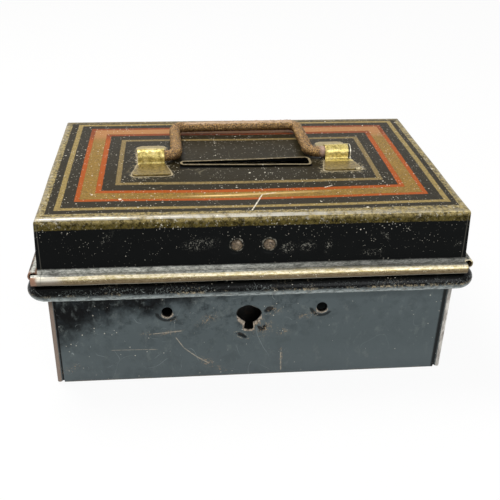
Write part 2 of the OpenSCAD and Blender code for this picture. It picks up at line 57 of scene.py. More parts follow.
# the lid
LID_TOP = 71.0
LID_HALF = 76.1
LID_FRONT = -48.7
BACK_Y = 47.6
FLARE = 0.8
WALL_HALF = LID_HALF + FLARE
WALL_FRONT = LID_FRONT - FLARE
HEM_Z, HEM_TOP = 48.6, 50.3
SEAM_X = 75.2
SLOT_Y = -3.0
SLOT_HALF_X, SLOT_HALF_LEFT, SLOT_HALF_RIGHT = 25.25, 0.95, 3.05
RIVETS = (-7.2, 4.4)
RIVET_Z, RIVET_R = 59.6, 2.1

# the base
BASE_FRONT = -46.5
WALL_TOP = 39.8
BEAD_LOW, BEAD_TURN, BEAD_TOP = 39.9, 42.9, 45.2
STRIP_X = 73.15
KEY_X, KEY_Z = -2.0, 28.7
KEY_R, STEM, STEM_HALF, STEM_ROUND = 4.5, 5.6, 0.5, 1.3
HOLES = (-32.4, 25.3)
HOLE_Z, HOLE_R = 31.3, 2.05

# the handle and its clips
HANDLE_Y, HANDLE_Z, HANDLE_SKEW = 0.8, 73.6, 1.5
WIRE_R, WIRE_BEND, UPRIGHT, REACH, FOOT_END, PLAY = 2.25, 4.2, 26.7, 31.8, 42.0, 0.6
WIRE_STEP, WIRE_SIDES, WIRE_ROUNDING, WIRE_BULGE = 0.35, 30, 0.8, 0.22
CLIP_X, CLIP_W, CLIP_T, CLIP_LIFT, ARCH_R = 37.5, 10.4, 0.6, 2.6, 2.95
CLIP_FRONT, CLIP_FRONT_W, CLIP_BACK, CLIP_BACK_W = 13.7, 15.8, 15.6, 12.6
FOOT_CORNER = 2.3
FRONT_SPREAD = (CLIP_FRONT_W - CLIP_W) / 2 / (CLIP_FRONT - ARCH_R)
BACK_SPREAD = (CLIP_BACK_W - CLIP_W) / 2 / (CLIP_BACK - ARCH_R)


# ---- marks of wear

# painted marks: centre, reach and turn in degrees of patches; both ends and width of scratches
LID_SCUFFS = ((-19.8, 60.3, 8, 3.2, 8), (11, 58, 4, 3, 10), (18, 58.5, 3, 4, 80),
              (25.5, 58, 1.8, 3.8, -8), (41.5, 55.2, 5.5, 1.8, 0), (73.2, 57.6, 2.2, 1.4, 40),
              (-52, 63.5, 4, 1.5, 50), (46, 62, 3, 1.2, -40))
TOP_SCRATCHES = ((3.5, -30.4, -1.7, -44.8, 0.35), (27.5, -26, 31, -24.5, 0.3), (9, -29, 3.5, -30.4, 0.3))
BASE_BRUISES = ((5.4, 30.6, 3.3, 1.9, 25), (3.4, 22.4, 3.4, 1.5, 50), (-4.8, 19.4, 3.8, 1.5, -28))
BASE_SCUFFS = ((-69.5, 6.6, 5.5, 2.2, 35), (-17.5, 27, 6.5, 3, 30), (-31.6, 21.7, 7.5, 1.5, 8),
               (10.6, 20.5, 4.5, 2.6, -10), (-18, 7.6, 5, 3, -40), (10.8, 8, 1, 7.5, 2),
               (-12.5, 4, 4.5, 1.6, -30), (20.5, 27.5, 5.5, 2, 15), (-40, 21.8, 4, 1, 0),
               (-30.5, 27.2, 2.5, 1, 10), (3, 23, 6.5, 6, 0), (7.5, 30, 4, 3, 0))
BASE_SCRATCHES = ((-29.5, 19.5, -26.5, 14.5, 0.22), (-26.5, 14.5, -22, 10.4, 0.24),
                  (-22, 10.4, -17, 6.8, 0.30), (-54, 14.8, -36, 14.4, 0.12),
                  (10.6, 11, 11, 2, 0.30), (-38, 21.6, -27, 22.4, 0.22))

# modelled dents: x, z, width and depth on a front; x, width and depth along an edge
BASE_DENTS = ((5.4, 30.8, 1.9, 0.8), (2.1, 21.4, 1.6, 0.7), (-5.2, 19.2, 1.7, 0.7), (-6.8, 24.5, 1.8, 0.3))
LID_DENTS = ((22, 57, 3, 0.25), (-40, 60, 4, 0.2), (56, 62, 2.5, 0.2))
HEM_DENTS = ((-52, 3, 0.12), (-12, 4, 0.10), (33, 2.5, 0.12), (61, 2, 0.15))
CROWN_DENTS = ((-60, 1.6, 0.16), (-33, 1.2, 0.12), (18, 1.4, 0.15), (47, 1.8, 0.14),
               (70, 1.2, 0.2))


# ---- colours

def linear(code):
    """Scene-linear colour of a hex code."""
    parts = [int(code[i:i + 2], 16) / 255 for i in (0, 2, 4)]
    return tuple(c / 12.92 if c <= 0.04045 else ((c + 0.055) / 1.055) ** 2.4 for c in parts)


def scaled(colour, factor):
    return tuple(min(1, c * factor) for c in colour)


OLIVE_GOLD = linear("7d6128")
OUTER_LINE = linear("857344")
INNER_LINE = linear("74633d")
RED = linear("a8500e")
EDGE_GOLD = linear("8d7e52")
OLD_GOLD = linear("4c4320")
BARE_AND_HIGHLIGHT = linear("b9b5aa")
DUST = linear("e6e0d0")
SCUFF = linear("9a8468")
WHITE = (1, 1, 1)
WARM = (1, 0.97, 0.92)
COOL = (0.96, 0.98, 1)
PALE_FLOOR = (0.86, 0.86, 0.86)
FLOOR_WHITE = 0.93
SKY = 0.42


# ---- shader nodes

def operator(operation, swapped=False):
    """A method that joins a field and another value by a math node."""
    def joined(self, other=0):
        values = (other, self) if swapped else (self, other)
        return self.tree.math(operation, *values)
    return joined


class Field:
    """A value that varies over a surface, with the arithmetic that math nodes do."""

    def __init__(self, tree, socket):
        self.tree = tree
        self.socket = socket

    __add__ = __radd__ = operator("ADD")
    __sub__ = operator("SUBTRACT")
    __rsub__ = operator("SUBTRACT", swapped=True)
    __mul__ = __rmul__ = operator("MULTIPLY")
    __truediv__ = operator("DIVIDE")
    __pow__ = operator("POWER")
    __abs__ = operator("ABSOLUTE")
    __lt__ = operator("LESS_THAN")
    __gt__ = operator("GREATER_THAN")


class Tree:
    """Short ways to add and wire the nodes of one material or world."""

    def __init__(self, owner):
        owner.use_nodes = True
        self.owner = owner
        self.graph = owner.node_tree
        self.graph.nodes.clear()

    def put(self, socket, value):
        """Links an input to a field or to a node's first output, or sets it."""
        if isinstance(value, Field):
            self.graph.links.new(value.socket, socket)
        elif isinstance(value, bpy.types.Node):
            self.graph.links.new(value.outputs[0], socket)
        elif isinstance(value, str):
            socket.default_value = (*linear(value), 1)
        elif socket.type == "RGBA":
            socket.default_value = (*value, 1)
        else:
            socket.default_value = value

    def node(self, kind, inputs, **settings):
        """A new node with its settings, and with its inputs put in by name or number."""
        node = self.graph.nodes.new("ShaderNode" + kind)
        for name, value in settings.items():
            setattr(node, name, value)
        for key, value in inputs.items():
            self.put(node.inputs[key], value)
        return node

    def field(self, node, output=0):
        return Field(self, node.outputs[output])

    def math(self, operation, *values):
        return self.field(self.node("Math", dict(enumerate(values)), operation=operation))

    def most(self, *values):
        result = values[0]
        for value in values[1:]:
            result = self.math("MAXIMUM", result, value)
        return result

    def least(self, a, b):
        return self.math("MINIMUM", a, b)

    def far(self, a, b):
        """Length of two offsets at right angles."""
        return self.math("SQRT", a ** 2 + b ** 2)


class Paint(Tree):
    """One material: fields to mask with, in mm, and a colour that is laid on coat by coat.

    The functions that paint call it n.
    """

    def __init__(self, name):
        super().__init__(bpy.data.materials.new(name))
        coords = self.node("TexCoord", {})
        self.mm = self.field(self.node("VectorMath", {0: self.field(coords, "Object"), "Scale": 1 / MM},
                                       operation="SCALE"))
        split = self.node("SeparateXYZ", {0: self.mm})
        self.x, self.y, self.z = [self.field(split, i) for i in range(3)]
        facing = self.node("SeparateXYZ", {0: self.field(coords, "Normal")})
        self.facing_x, self.facing_y, self.facing_z = [self.field(facing, i) for i in range(3)]
        self.colour = None

    def mix(self, share, a, b):
        return self.field(self.node("Mix", {0: share, 6: a, 7: b}, data_type="RGBA"), 2)

    def coat(self, mask, tint):
        """Lays a colour over what is painted so far."""
        self.colour = self.mix(mask, self.colour, tint)

    def step(self, value, low, high, to=(0, 1)):
        """Smooth change between two values of a field."""
        inputs = dict(enumerate((value, low, high, *to)))
        return self.field(self.node("MapRange", inputs, interpolation_type="SMOOTHSTEP"))

    def fall(self, value, low, high):
        return self.step(value, low, high, (1, 0))

    def band(self, value, low, high, soft=0.1):
        """1 between two values, with soft ends."""
        return self.step(value, low - soft, low + soft) * self.fall(value, high - soft, high + soft)

    def stretched(self, scale, turn=0, shift=(0, 0, 0)):
        inputs = {"Vector": self.mm, "Scale": scale, "Rotation": (0, 0, turn), "Location": shift}
        return self.field(self.node("Mapping", inputs))

    def noise(self, scale, detail, rough, vector=None):
        inputs = {"Vector": vector or self.mm, "Scale": scale, "Detail": detail, "Roughness": rough}
        return self.field(self.node("TexNoise", inputs), "Fac")

    def blots(self, noise_values, low, high, to=(0, 1)):
        """Irregular blots: noise of a scale, detail, roughness and vector, cut between two values."""
        return self.step(self.noise(*noise_values), low, high, to)

    def jitter(self, scale, size, detail=4, rough=0.65):
        """Noise about zero, of a given size."""
        return (self.noise(scale, detail, rough) - 0.5) * (2 * size)

    def outside(self):
        """1 on faces that look away from the middle of the box, 0 on its inner faces."""
        out_x = self.facing_x * self.math("SIGN", self.x)
        out_y = self.facing_y * self.math("SIGN", self.y)
        return out_x + out_y + self.facing_z > 0

    def plane(self, axes):
        return (self.x, self.y) if axes == "xy" else (self.x, self.z)

    def patch(self, x, y, long, wide, turn, axes="xy"):
        """An ellipse that fades from its centre, in mm and degrees."""
        u, v = self.plane(axes)
        du, dv = u - x, v - y
        c, s = math.cos(math.radians(turn)), math.sin(math.radians(turn))
        along = du * (c / long) + dv * (s / long)
        across = dv * (c / wide) - du * (s / wide)
        return self.fall(self.far(along, across), 0.15, 1)

    def front_patches(self, table):
        return self.most(*[self.patch(*row, "xz") for row in table])

    def line(self, x0, y0, x1, y1, width, axes="xy"):
        """A single scratch between two points of a plane, in mm."""
        u, v = self.plane(axes)
        dx, dy = x1 - x0, y1 - y0
        run = math.hypot(dx, dy)
        du, dv = u - x0, v - y0
        along = (du * dx + dv * dy) / (run * run)
        across = abs((du * dy - dv * dx) / run)
        within = self.step(along, -0.02, 0.05) * self.fall(along, 0.95, 1.02)
        return within * self.fall(across, width * 0.4, width)

    def hairlines(self, scale, width, shift, share=0.5):
        """Long fine curved scratches, broken up."""
        moved = self.stretched((1, 1, 1), 0, shift)
        line = self.fall(abs(self.noise(scale, 1.5, 0.5, moved) - 0.5), 0, width)
        return line * self.step(self.noise(scale * 2.1, 3, 0.6, moved), 1 - share, 1.08 - share)

    def specks(self, cell, size, share):
        """Sparse small ragged dots: cells of a given width in mm, a share of which hold a dot."""
        cells = self.node("TexVoronoi", {"Vector": self.mm, "Scale": 1 / cell})
        chance = self.node("SeparateColor", {0: self.field(cells, "Color")})
        ragged = (self.noise(3.5, 2, 0.6) - 0.5) * (size / cell)
        near = self.field(cells, "Distance") + ragged < self.field(chance, 1) * (size / cell)
        return near * (self.field(chance, 0) < share)

    def bump(self, height, strength, distance):
        inputs = {"Strength": strength, "Distance": distance * MM, "Height": height}
        return self.field(self.node("Bump", inputs))

    def finish(self, rough, metal, normal, specular):
        inputs = {"Base Color": self.colour, "Roughness": rough, "Metallic": metal,
                  "Specular IOR Level": specular, "Normal": normal}
        self.node("OutputMaterial", {0: self.node("BsdfPrincipled", inputs)})
        return self.owner


# ---- camera, light, floor

def new_object(name, data):
    obj = bpy.data.objects.new(name, data)
    bpy.context.scene.collection.objects.link(obj)
    return obj


def camera():
    """The photograph's camera, in the part's frame."""
    place = Vector((-27.13, -275.5, 186.93)) * MM
    pitch, yaw, roll = (math.radians(a) for a in (28.58, 5.78, 1.28))
    forward = Vector((math.sin(yaw) * math.cos(pitch), math.cos(yaw) * math.cos(pitch), -math.sin(pitch)))
    right = Vector((math.cos(yaw), -math.sin(yaw), 0))
    up = right.cross(forward)
    x_axis = right * math.cos(roll) + up * math.sin(roll)
    y_axis = up * math.cos(roll) - right * math.sin(roll)
    data = bpy.data.cameras.new("camera")
    data.sensor_width = 36
    data.lens = 53.42
    data.shift_x = 0.0092
    data.shift_y = -0.0274
    data.clip_start = 0.01
    data.clip_end = 20
    cam = new_object("camera", data)
    turn = Matrix((x_axis, y_axis, -forward)).transposed().to_4x4()
    cam.matrix_world = Matrix.Translation(place) @ turn
    bpy.context.scene.camera = cam


def area_light(name, place, side, watts, colour):
    """A square lamp aimed at the middle of the box, in metres."""
    data = bpy.data.lights.new(name, "AREA")
    data.shape = "RECTANGLE"
    data.size = data.size_y = side
    data.energy = watts
    data.color = colour
    lamp = new_object(name, data)
    lamp.location = place
    aim = Vector((0, 0, 0.05))
    lamp.rotation_euler = (aim - Vector(place)).to_track_quat("-Z", "Y").to_euler()


def white_to(tree):
    """1 for the rays that see the white background: camera, glossy and transmission."""
    path = tree.node("LightPath", {})
    return tree.most(*[tree.field(path, f"Is {kind} Ray") for kind in ("Camera", "Glossy", "Transmission")])


def floor_material():
    """White to the camera and to glossy surfaces, with a soft shadow; plain pale to all other light."""
    tree = Tree(bpy.data.materials.new("pale_floor"))
    plain = tree.node("BsdfDiffuse", {0: PALE_FLOOR})
    white = tree.node("Emission", {0: WHITE})
    mixed = tree.node("MixShader", {0: white_to(tree) * FLOOR_WHITE, 1: plain, 2: white})
    tree.node("OutputMaterial", {0: mixed})
    return tree.owner


def world():
    """White where it is seen, and dimmer as light."""
    bpy.context.scene.world = bpy.data.worlds.new("studio")
    tree = Tree(bpy.context.scene.world)
    soft = tree.node("Background", {0: WHITE, 1: SKY})
    white = tree.node("Background", {0: WHITE, 1: 1})
    mixed = tree.node("MixShader", {0: white_to(tree), 1: soft, 2: white})
    tree.node("OutputWorld", {0: mixed})


def studio():
    """The world, a wide floor just under the box, and two lamps."""
    world()
    half = 3
    gap = 0.2 * MM
    corners = [(-half, -half, 0), (half, -half, 0), (half, half, 0), (-half, half, 0)]
    mesh = bpy.data.meshes.new("floor")
    mesh.from_pydata(corners, [], [(0, 1, 2, 3)])
    mesh.materials.append(floor_material())
    floor = new_object("floor", mesh)
    floor.location.z = -gap
    area_light("key", (-0.26, 0.16, 0.72), 0.30, 5, WARM)
    area_light("fill", (0.30, -0.75, 0.45), 0.5, 3.6, COOL)


# ---- paint of the lid

# In paint, lengths are in mm from the named sizes, and widths of wear and strengths are given.

def dusty(n, amount, where=1):
    """Small pale specks of dust and chipped paint, thicker in places. Returns where they are."""
    thick = n.blots((0.07, 3, 0.6), 0.35, 0.62, (0.25, 1))
    fine = n.specks(0.9, 0.24, 0.55 * amount) * 0.6
    middle = n.specks(2, 0.36, 0.45 * amount) * 0.85
    large = n.specks(5.5, 0.62, 0.35 * amount) * 0.95
    marks = n.most(fine, middle, large) * thick * where
    n.coat(marks, DUST)
    return marks


def gilt(n, base, dark, scale=1.1):
    """Bronze paint: mottled, with darker grain and bright rubs."""
    shade = n.mix(n.blots((scale, 7, 0.8), 0.40, 0.60), scaled(base, dark), scaled(base, 1.4))
    return n.mix(n.blots((0.22, 4, 0.6), 0.45, 0.7, (0, 0.35)), shade, scaled(base, 1.5))


def lid_top_paint(n):
    """The painted rectangles of the lid's top. Returns where they are gilt."""
    n.colour = n.mix(n.noise(0.09, 4, 0.6), "1f1b10", "2a2414")
    depth = (BACK_Y - LID_FRONT) / 2
    middle = (BACK_Y + LID_FRONT) / 2
    off_x, inner_off_y, outer_off_y = 0.36, 2.43, 1.5
    in_x = LID_HALF - abs(n.x - off_x)
    wobble = n.jitter(0.35, 0.2, 3, 0.6)
    inner, outer = [n.least(in_x, depth - abs(n.y - (middle + off_y))) + wobble
                    for off_y in (inner_off_y, outer_off_y)]
    rubbed_and_sheen = n.blots((0.9, 6, 0.75), 0.28, 0.42, (0.5, 1))
    back = n.step(n.y, 22, 31, (0, 0.8))
    gilding = 0
    for inset, low, high, tint in (
        (outer, 5.49, 7.44, OUTER_LINE),
        (inner, 11.65, 13.41, RED),
        (inner, 13.41, 18.51, OLIVE_GOLD),
        (inner, 18.51, 20.56, RED),
        (inner, 25.29, 27.16, INNER_LINE),
    ):
        on = n.band(inset, low, high, 0.15)
        if tint is RED:
            tinted = n.mix(n.noise(1.2, 4, 0.6), RED, scaled(RED, 0.62))
            tinted = n.mix(back, tinted, "6f3414")
        else:
            tinted = gilt(n, tint, 0.72)
            gilding = n.most(gilding, on)
        if tint is OLIVE_GOLD:
            tinted = n.mix(back, tinted, "a87448")
        n.coat(on * rubbed_and_sheen, tinted)
    return gilding


def lid_painted_highlight(n, gilding):
    """A painted highlight along the front gold line."""
    # a painted highlight: a pale gold streak on the front gold line
    bright = n.patch(-11, -30.6, 19, 0.8, 1)
    streak = n.most(bright, n.patch(6, -29.6, 30, 1.2, 1.5) * 0.45)
    n.coat(streak * gilding * n.blots((0.6, 5, 0.7), 0.3, 0.5, (0.5, 1)), "f2cf8c")


def lid_gold_edge(n, down, on_top, ragged):
    """Black sides, and a gold edging that runs over the bend on to them. Returns where it is gold."""
    n.colour = n.mix(on_top, n.mix(n.noise(0.2, 4, 0.6), "040606", "0a0c0c"), n.colour)
    nearest = n.least(LID_HALF - abs(n.x), n.least(n.y - LID_FRONT - 1.2, BACK_Y - n.y))
    edge_in = n.most(0, nearest) + ragged
    top_edge = on_top * n.fall(edge_in, 2.9, 3.2)
    side_edge = (1 - on_top) * n.fall(down + ragged, 3.9, 4.2)
    gold_zone = n.most(top_edge, side_edge)
    gold = n.mix(n.step(down, 0.8, 2.6), gilt(n, EDGE_GOLD, 0.22, 0.75), gilt(n, OLD_GOLD, 0.15, 0.75))
    dull = on_top * n.step(n.y, 42, 44.5) * 0.55
    n.coat(gold_zone, n.mix(dull, gold, "3b3220"))
    return gold_zone


def lid_hem(n, hem, ragged):
    """The rolled hem: a crest painted bright as a highlight, brown middle and pale underside, drawn out
    along its length.
    """
    drawn = n.noise(1.5, 7, 0.8, n.stretched((0.35, 0.35, 1.5)))
    # the crest painted brighter than the middle, and its top palest, as a painted highlight
    crest = n.mix(n.step(drawn, 0.4, 0.62), "94834c", "b5aa88")
    crest_highlight = n.mix(n.step(drawn, 0.42, 0.58), "c8b888", "f6ecd2")
    crest = n.mix(n.step(n.z + ragged * 0.3, HEM_Z + 0.75, HEM_Z + 1.25), crest, crest_highlight)
    middle = n.mix(n.step(drawn, 0.35, 0.6), "544630", "7d6f56")
    colour = n.mix(n.step(n.z + ragged * 0.5, HEM_Z + 0.4, HEM_Z + 1.1), middle, crest)
    colour = n.mix(n.step(n.z, HEM_Z - 1.35, HEM_Z - 1, (0.9, 0)), colour, "bab5a6")
    colour = n.mix(n.blots((0.9, 6, 0.75), 0.60, 0.68, (0, 0.8)), colour, "4a4128")
    glint = n.blots((2, 7, 0.8), 0.55, 0.61) * n.blots((0.13, 4, 0.6), 0.4, 0.6)
    colour = n.mix(glint * n.step(n.z, HEM_Z - 0.2, HEM_Z + 0.6) * 0.85, colour, "e9dfbd")
    # bare silver at the left end, also painted lighter along the crest as a highlight
    silver = n.step(n.x + ragged * 6, -72, -66, (0.75, 0))
    colour = n.mix(silver, colour, n.mix(n.step(n.z, HEM_Z, HEM_Z + 1.2), "7d756a", "dad6cc"))
    left_end = n.fall(n.x, -WALL_HALF - 0.7, -WALL_HALF + 0.7) * n.blots((0.5, 4, 0.6), 0.3, 0.5)
    colour = n.mix(left_end, colour, "8f6f5c")
    sides = n.step(abs(n.x), WALL_HALF + 0.05, WALL_HALF + 0.15)
    sides = sides * n.step(n.y, LID_FRONT + 1.2, LID_FRONT + 2.2)
    colour = n.mix(sides * n.blots((0.35, 5, 0.7), 0.62, 0.5), colour, "3a3020")
    n.coat(hem, colour)


def lid_shoulder(n, hem, ragged):
    """A painted reflection along the bend just above the hem, brightest at the left."""
    # painted reflection of light in the bend above the hem
    shoulder = (1 - hem) * n.fall(n.z + ragged * 0.6, HEM_TOP + 0.9, HEM_TOP + 2)
    tin_and_sheen = n.mix(n.blots((1.6, 7, 0.8, n.stretched((0.4, 0.4, 1))), 0.4, 0.6), "8d8f88", "e0e0d8")
    brighter_left = n.step(n.x, -30, 40, (0.95, 0.45))
    n.coat(shoulder * n.blots((0.12, 4, 0.6), 0.32, 0.5, (0.5, 1)) * brighter_left, tin_and_sheen)


def lid_bare_and_highlit_edges(n, down, gold_zone):
    """The crown of the front bend worn to bare metal and painted bright as a highlight, the other edges in
    patches. Returns the crowns.
    """
    edge_front = n.y - LID_FRONT
    most_worn_and_lit = n.fall(edge_front, 1.6, 2.6) * n.step(n.x, 5, 60, (1, 0.1))
    # the crown: bare metal, painted bright as a highlight along the bend
    crown = n.fall(abs(down - 0.30), 0.15, 0.50) * n.fall(n.least(LID_HALF - abs(n.x), edge_front), 1.5, 2.2)
    crown = crown * n.blots((0.3, 5, 0.7), 0.34, 0.56, (0.2, 1)) * (most_worn_and_lit * 0.78 + 0.22)
    worn = gold_zone * n.blots((0.55, 6, 0.75), 0.57, 0.64) * n.step(down, 1.5, 3, (1, 0.35))
    n.coat(n.most(crown, worn * 0.6), BARE_AND_HIGHLIGHT)
    return crown


def lid_front_wear(n, front, ragged, flaked):
    """Lap seams near the ends of the front, scuffs, and bare rings round the hasp's rivets."""
    n.coat(n.band(abs(n.x), SEAM_X, SEAM_X + 0.3, 0.08) * front * 0.45, "5c5a52")
    n.coat(n.front_patches(LID_SCUFFS) * flaked * front * 0.85, "a3a196")
    for rivet_x in RIVETS:
        out = n.far(n.x - rivet_x, n.z - RIVET_Z) + ragged * 0.6
        ring = n.band(out, RIVET_R + 0.15, RIVET_R + 0.5, 0.25)
        n.coat(ring * front * n.blots((0.6, 5, 0.7), 0.42, 0.56, (0.05, 0.8)), "8d897c")


def lid_slot_lip(n):
    """The raised lip of the slot, with its paint chipped."""
    near = n.fall(abs(n.x), SLOT_HALF_X + 1.55, SLOT_HALF_X + 2.35) * n.fall(abs(n.y - SLOT_Y), 4.6, 5.2)
    lip = n.step(n.z, LID_TOP + 0.35, LID_TOP + 0.62) * near
    n.coat(lip * n.blots((0.8, 6, 0.75), 0.34, 0.52, (0.2, 1)) * 0.85, "93866a")


def clip_halo(n, side):
    """Distance out from a clip's outline on the lid, in mm."""
    turn = math.radians(HANDLE_SKEW)
    dx = n.x - side * CLIP_X * math.cos(turn)
    dy = n.y - (HANDLE_Y + side * CLIP_X * math.sin(turn))
    u = abs(dx * math.cos(turn) + dy * math.sin(turn))
    v = dy * math.cos(turn) - dx * math.sin(turn)
    fore = n.most(v * -1 - ARCH_R, 0)
    aft = n.most(v - ARCH_R, 0)
    half = fore * FRONT_SPREAD + aft * BACK_SPREAD + CLIP_W / 2
    past_side = n.most(u - half + FOOT_CORNER, 0)
    past_end = n.most(v - (CLIP_BACK - FOOT_CORNER), FOOT_CORNER - CLIP_FRONT - v, 0)
    return n.far(past_side, past_end) - FOOT_CORNER


def lid_clip_marks(n, on_top, ragged, flaked):
    """Dark ground, worn rings and powder round the clips, and a smear beside the right one."""
    away = n.least(clip_halo(n, -1), clip_halo(n, 1)) + n.jitter(0.45, 0.7, 3, 0.6)
    ring = n.fall(abs(away - 0.35) + ragged * 1.1, 0, 0.6)
    powder = n.step(away, 0.5, 3.6, (0.6, 0)) * n.blots((0.7, 6, 0.8), 0.5, 0.62)
    behind = n.step(n.y, 6, 12, (1, 0.3))
    smear = n.patch(30.5, -1.5, 5.5, 3, 10) * flaked
    n.coat(n.step(away, 0.3, 3.2, (0.75, 0)) * on_top, "14140f")
    n.coat(n.most(ring * behind * 0.8, powder * behind, smear * 0.8) * on_top, "bcae8e")


def lid_dust(n, down, on_top, front):
    """Dust, three scratches and hairlines on the top. Returns the dust."""
    where = n.step(down, 4, 9, (1, 0.85)) * n.most(front, on_top, 0.3)
    dots = dusty(n, 1.2, where * n.most(on_top, n.blots((0.21, 3, 0.5), 0.44, 0.58, (0.1, 1))))
    broken = n.blots((1.6, 6, 0.75), 0.42, 0.52)
    for scratch in TOP_SCRATCHES:
        n.coat(n.line(*scratch) * on_top * broken, DUST)
    n.coat(n.hairlines(0.04, 0.003, (40, 3, 7)) * on_top * 0.3, "8f876f")
    return dots


def lid_lining(n, painted, flaked):
    """Dull tinplate where the paint doesn't reach, and the walls of the slot painted black as shade."""
    lining = n.mix(n.blots((0.5, 6, 0.7), 0.42, 0.62), "1d1b17", "38342b")
    lining = n.mix(n.blots((0.12, 5, 0.7), 0.55, 0.65) * flaked * 0.7, lining, "6a4a2e")
    n.colour = n.mix(painted, lining, n.colour)
    in_x = n.fall(abs(n.x), SLOT_HALF_X + 0.95, SLOT_HALF_X + 1.15)
    in_y = n.fall(abs(n.y - SLOT_Y), 4.2, 4.4)
    # the slot's walls painted black as the shade inside it
    n.coat(in_x * in_y * n.fall(n.z, LID_TOP + 0.3, LID_TOP + 0.45), "020202")


def lid_paint():
    n = Paint("japanned_lid")
    outside = n.outside()
    down = LID_TOP - n.z
    ragged = n.jitter(0.8, 0.55, 6, 0.75)
    flaked = n.blots((1.5, 7, 0.8), 0.54, 0.62)
    on_top = n.most(n.fall(down, 1.3, 1.6) * n.step(n.facing_z, 0.15, 0.45), n.fall(down, 0.35, 0.45))
    front = n.fall(n.y, LID_FRONT + 0.4, LID_FRONT + 0.7) * (1 - on_top)
    beyond_wall = n.most(n.fall(n.y, WALL_FRONT - 0.45, WALL_FRONT - 0.15),
                         n.step(abs(n.x), WALL_HALF + 0.1, WALL_HALF + 0.35),
                         n.step(n.y, BACK_Y - 1.1, BACK_Y - 0.6))
    hem = n.fall(n.z + ragged * 0.2, HEM_TOP, HEM_TOP + 0.3) * beyond_wall
    gilding = lid_top_paint(n) * on_top
    lid_painted_highlight(n, gilding)
    gold_zone = lid_gold_edge(n, down, on_top, ragged)
    lid_hem(n, hem, ragged)
    lid_shoulder(n, hem, ragged)
    crown = lid_bare_and_highlit_edges(n, down, gold_zone)
    lid_front_wear(n, front, ragged, flaked)
    lid_slot_lip(n)
    lid_clip_marks(n, on_top, ragged, flaked)
    dots = lid_dust(n, down, on_top, front)
    lid_lining(n, n.most(outside, hem * beyond_wall), flaked)
    metal = n.most(gold_zone * 0.35, hem * 0.4, gilding * 0.12, crown * 0.5) * outside
    rough = n.noise(0.7, 5, 0.6) * 0.22 + 0.26
    height = n.noise(1.4, 5, 0.65) + (dots + gold_zone) * 0.4
    return n.finish(rough, metal, n.bump(height, 0.45, 0.15), 0.06)


# ---- paint of the base

def base_coats_and_painted_light(n, front):
    """Blue-grey japanning, darker at the upper left; under the bead a pale line of painted reflection, with
    a faint painted shadow below it.
    """
    grey = n.mix(n.noise(0.05, 4, 0.55), "4b5355", "555e60")
    n.colour = n.mix(n.step(n.z, 4, 18, (0.4, 0)), grey, "626a6c")
    reach = (n.x + 75) * 0.27 + (38 - n.z) * 0.85 + n.jitter(0.09, 11, 6, 0.62)
    n.coat(front * n.fall(reach, 10, 20), "060809")
    # a faint painted shadow on the wall below the bead
    n.coat(front * n.band(n.z, BEAD_LOW - 4.9, BEAD_LOW - 2.9, 1) * 0.15, "1c2022")
    # a pale line of painted reflection just under the bead, carrying on its pale underside
    n.coat(front * n.band(n.z, BEAD_LOW - 2.4, BEAD_LOW + 0.3, 0.3) * 0.7, "8a9291")
    bloom = n.blots((0.3, 7, 0.7, n.stretched((1, 1, 0.6), 0.4)), 0.54, 0.70, (0, 0.45))
    n.coat(bloom, "6b7270")
    cloud = front * n.blots((0.17, 7, 0.72), 0.47, 0.64)
    cloud = cloud * n.step(n.z, 14, 34, (0.16, 0.75)) * n.step(n.x, 0, 35, (1, 0.3))
    n.coat(cloud, "22282b")


def base_bead(n):
    """The bead: black above and painted pale grey below as the floor's reflection, its top kept plain black
    as painted shade under the lid's hem, streaked along its length. Returns its streaks.
    """
    bead = n.step(n.z, BEAD_LOW, BEAD_LOW + 0.25)
    streaks = n.noise(1, 7, 0.75, n.stretched((0.45, 0.45, 1.3)))
    # below_top keeps the streaks and scratches off the bead's top, left black as painted shade under the hem
    below_top = n.fall(n.z, BEAD_TOP, BEAD_TOP + 0.5)
    # the lower half painted pale grey as the floor's reflection, palest at the bottom
    low = n.mix(n.step(n.z, BEAD_LOW + 1.5, BEAD_LOW + 3.5), "9aa2a1", "5d6464")
    low = n.mix(n.step(streaks, 0.44, 0.54, (0.6, 0)), low, "1d2020")
    high = n.mix(n.step(streaks, 0.61, 0.67) * below_top, "030404", "8c9290")
    turn = n.step(n.z + (streaks - 0.5) * 3.5, BEAD_TURN, BEAD_TURN + 0.8)
    n.coat(bead, n.mix(turn, low, high))
    tan = n.blots((0.09, 3, 0.5), 0.52, 0.6) * n.blots((1.1, 7, 0.8), 0.56, 0.63)
    n.coat(bead * tan * n.step(n.z, BEAD_TURN + 1.1, BEAD_TURN + 2.1, (1, 0.3)) * 0.85, "a39882")
    scratchy = n.blots((1.7, 7, 0.8), 0.535, 0.60) * n.blots((0.10, 4, 0.6), 0.42, 0.56, (0.12, 1))
    n.coat(bead * scratchy * n.step(n.z, BEAD_TURN + 0.1, BEAD_TURN + 0.7) * below_top * 0.5, "8f9794")
    worn = n.blots((1.1, 7, 0.8), 0.5, 0.58) * n.blots((0.05, 3, 0.5), 0.42, 0.55)
    n.coat(bead * worn * n.band(n.z, BEAD_TURN, BEAD_TURN + 0.9, 0.3) * 0.85, "a4967a")
    return bead * streaks


